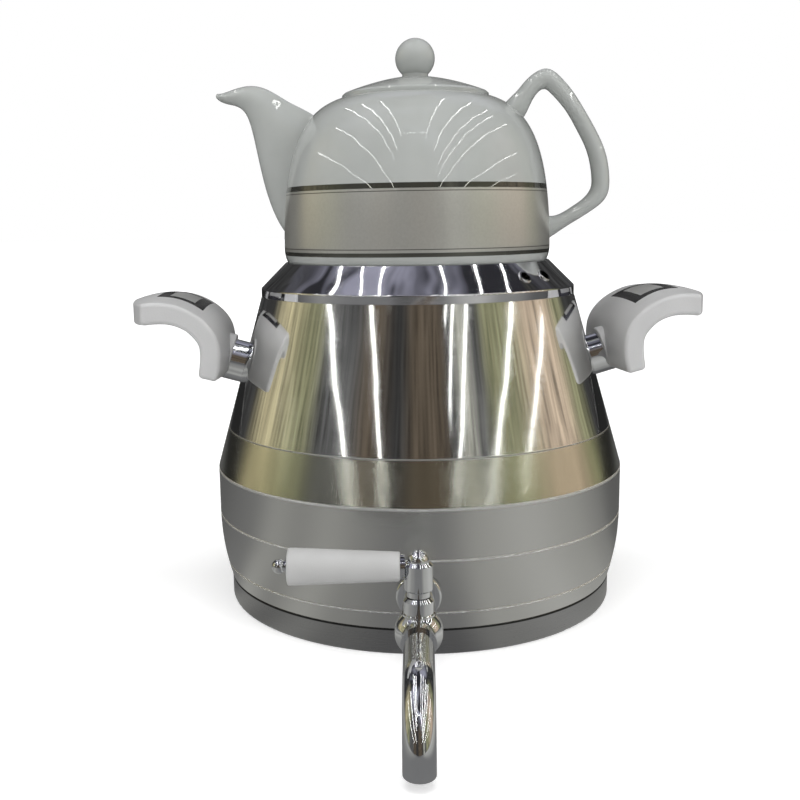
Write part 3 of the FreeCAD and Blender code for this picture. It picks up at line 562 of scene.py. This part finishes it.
def either(tree, first, second):
    node = tree.nodes.new("ShaderNodeMath")
    node.operation = "MAXIMUM"
    tree.links.new(first, node.inputs[0])
    tree.links.new(second, node.inputs[1])
    return node.outputs[0]


def any_band(tree, edges):
    mask = between(tree, *edges[0])
    for low, high in edges[1:]:
        mask = either(tree, mask, between(tree, low, high))
    return mask


# %% Steel and chrome
brush_marks = (1, 1, 60)
polish_marks = (1, 1, 6)
even_marks = (1, 1, 1)
brushed_steel = metal(
    "brushed_steel", (0.665, 0.665, 0.65), (0.69, 0.69, 0.675), (0.24, 0.265), brush_marks, 60, 0.6
)
base_steel = metal(
    "base_steel", (0.35, 0.35, 0.355), (0.39, 0.39, 0.395), (0.26, 0.31), brush_marks, 60, 0.6
)
mirror_steel = metal(
    "mirror_steel", (0.82, 0.82, 0.81), (0.87, 0.87, 0.86), (0.06, 0.09), polish_marks, 20
)
collar_steel = metal(
    "collar_steel", (0.74, 0.74, 0.76), (0.84, 0.84, 0.86), (0.04, 0.07), polish_marks, 20
)
chrome = metal("chrome", (0.72, 0.73, 0.75), (0.84, 0.85, 0.86), (0.03, 0.07), even_marks, 60)
wave_strength = 0.5
# The collar and the cone are pressed sheet, not quite even, so their reflections waver
for steel, waves, height in ((collar_steel, 28, 0.0012), (mirror_steel, 22, 0.0002)):
    tree = steel.node_tree
    bump(tree, tree.nodes["Principled BSDF"], noise(tree, waves, 1.0), wave_strength, height)

# %% Painted highlights on the pressed lines and the weld, the belt and the base's seam
# The pressed grooves and the weld are real, but their bright lines are painted highlights: near-white
# colour at their heights stands in for the light they catch
groove_highlight_edges = ((0.0716, 0.0728), (0.0476, 0.0486), (0.0215, 0.0222))
weld_highlight_edges = ((0.0938, 0.0947),)
painted_highlight_colour = (0.95, 0.95, 0.94)
line_rough = 0.5
seam_edges = ((0.0121, 0.0130),)
seam_colour = (0.05, 0.05, 0.05)
belt_edges = ((0.0728, 0.0938),)
belt_colour = (0.74, 0.74, 0.66)
belt_rough = 0.15


def blend_numbers(tree, factor, plain, number):
    """A plain value that turns into a number where the factor is 1."""
    node = tree.nodes.new("ShaderNodeMix")
    node.inputs[3].default_value = number
    tree.links.new(factor, node.inputs[0])
    tree.links.new(plain, node.inputs[2])
    return node.outputs[0]


def add_lines(material, edges, colour, rough):
    """Lines of another colour and roughness at given heights on a steel."""
    tree = material.node_tree
    shader = tree.nodes["Principled BSDF"]
    mask = any_band(tree, edges)
    plain = shader.inputs["Base Color"].links[0].from_socket
    tree.links.new(blend_colours(tree, mask, plain, colour), shader.inputs["Base Color"])
    plain_rough = shader.inputs["Roughness"].links[0].from_socket
    tree.links.new(blend_numbers(tree, mask, plain_rough, rough), shader.inputs["Roughness"])


add_lines(brushed_steel, belt_edges, belt_colour, belt_rough)
# Painted highlights: the grooves on the lower shell and the weld on the cone get the near-white colour
add_lines(brushed_steel, groove_highlight_edges, painted_highlight_colour, line_rough)
add_lines(mirror_steel, weld_highlight_edges, painted_highlight_colour, line_rough)
add_lines(base_steel, seam_edges, seam_colour, line_rough)

# %% Steel on its pieces
paint(brushed_steel, "lower_shell", "base_disc")
paint(base_steel, "base_cap")
paint(mirror_steel, "upper_shell")
paint(collar_steel, "collar_shell", "collar_plug")
paint(
    chrome, "handle_ferrule_left", "handle_ferrule_right", "handle_stud_left", "handle_stud_right",
    "handle_bolt_left", "handle_bolt_right", "tap_body", "tap_bonnet", "tap_spout", "tap_washer",
    "tap_locknut", "lever_hub", "lever_washer", "lever_rod", "lever_finial", "lever_grub_screw",
    "valve_stem", "valve_ball", "seat_retainer",
)

# %% Porcelain
glaze_dark = (0.385, 0.40, 0.385)
glaze_light = (0.43, 0.445, 0.43)


def glazed(name):
    material = bpy.data.materials.new(name)
    tree, shader = node_tree(material)
    mottle = noise(tree, 35, 3.0)
    tree.links.new(blend_colours(tree, mottle, glaze_dark, glaze_light), shader.inputs["Base Color"])
    tree.links.new(spread(tree, mottle, 0.018, 0.03, 0, 1), shader.inputs["Roughness"])
    shader.inputs["Coat Weight"].default_value = 0.3
    shader.inputs["Coat Roughness"].default_value = 0.015
    bump(tree, shader, noise(tree, 45, 2.0), 0.12, 0.0003)
    return material, tree, shader


porcelain, tree, shader = glazed("porcelain")
paint(porcelain, "teapot_spout", "teapot_handle", "teapot_lid")

# %% Banded porcelain
band_low, band_high = 0.1872, 0.2180
stripe_edges = ((0.1854, 0.1874), (0.2179, 0.2205), (0.1888, 0.1892), (0.2164, 0.2168))
stripe_colour = (0.10, 0.10, 0.085)
lustre_dark = (0.53, 0.525, 0.485)
lustre_light = (0.57, 0.565, 0.525)
lustre_rough = 0.28
lustre_metallic = 0.65
banded, tree, shader = glazed("banded_porcelain")
band = between(tree, band_low, band_high)
stripes = any_band(tree, stripe_edges)
glaze_colour = shader.inputs["Base Color"].links[0].from_socket
lustre = blend_colours(tree, noise(tree, 900, 3.0), lustre_dark, lustre_light)
with_band = blend_colours(tree, band, glaze_colour, lustre)
with_stripes = blend_colours(tree, stripes, with_band, stripe_colour)
tree.links.new(with_stripes, shader.inputs["Base Color"])
glaze_rough = shader.inputs["Roughness"].links[0].from_socket
tree.links.new(blend_numbers(tree, band, glaze_rough, lustre_rough), shader.inputs["Roughness"])
metallic = spread(tree, either(tree, band, stripes), 0, lustre_metallic, 0, 1)
tree.links.new(metallic, shader.inputs["Metallic"])
paint(banded, "teapot_body")

# %% Plastics and the small pieces


def moulded(name, dark, light, rough, grain_scale, depth):
    """Moulded plastic: two near colours in a faint mottle, with a fine grain."""
    material = bpy.data.materials.new(name)
    tree, shader = node_tree(material)
    mottle = noise(tree, 50, 2.0)
    tree.links.new(blend_colours(tree, mottle, dark, light), shader.inputs["Base Color"])
    tree.links.new(spread(tree, mottle, rough[0], rough[1], 0, 1), shader.inputs["Roughness"])
    bump(tree, shader, noise(tree, grain_scale, 3.0), 0.3, depth)
    return material


grip_plastic = moulded(
    "grip_plastic", (0.52, 0.52, 0.52), (0.56, 0.56, 0.56), (0.30, 0.38), 1500, 0.0001
)
lever_plastic = moulded(
    "lever_plastic", (0.46, 0.46, 0.455), (0.50, 0.50, 0.495), (0.35, 0.42), 1800, 0.0001
)
gloss_black = moulded(
    "gloss_black", (0.008, 0.008, 0.009), (0.014, 0.014, 0.015), (0.06, 0.10), 900, 0.00003
)
panel_silver = moulded(
    "panel_silver", (0.36, 0.36, 0.35), (0.46, 0.46, 0.45), (0.30, 0.40), 1200, 0.00004
)
panel_silver.node_tree.nodes["Principled BSDF"].inputs["Metallic"].default_value = 0.25
rubber = moulded("rubber", (0.32, 0.32, 0.31), (0.38, 0.38, 0.37), (0.45, 0.55), 900, 0.00005)
paint(grip_plastic, "handle_grip_left", "handle_grip_right")
paint(lever_plastic, "lever_grip")
paint(gloss_black, "handle_inlay_left", "handle_inlay_right")
paint(panel_silver, "handle_panel_left", "handle_panel_right")
paint(rubber, "tap_outer_gasket", "tap_inner_gasket", "valve_seats", "stem_packing")
